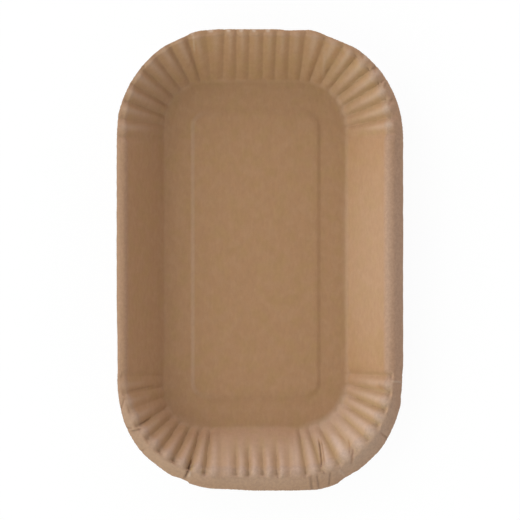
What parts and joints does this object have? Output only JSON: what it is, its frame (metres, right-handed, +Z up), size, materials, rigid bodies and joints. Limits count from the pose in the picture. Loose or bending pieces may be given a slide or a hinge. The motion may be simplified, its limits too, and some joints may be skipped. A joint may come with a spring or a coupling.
{
  "type": "paper food tray",
  "caption": "Shallow oblong tray pressed from one sheet of kraft board, with sloping walls, fluted round ends, a turned-down lip and a slightly raised floor panel.",
  "frame": {"origin": "on the table, under the middle of the tray's outline", "axes": "+Z up, length along Y, width along X; the lip is widest at the -Y end"},
  "size_m": [0.0997, 0.16, 0.016],
  "materials": {
    "kraft_board": "matte"
  },
  "bodies": {
    "root": {"tray": "kraft_board"}
  },
  "joints": []
}
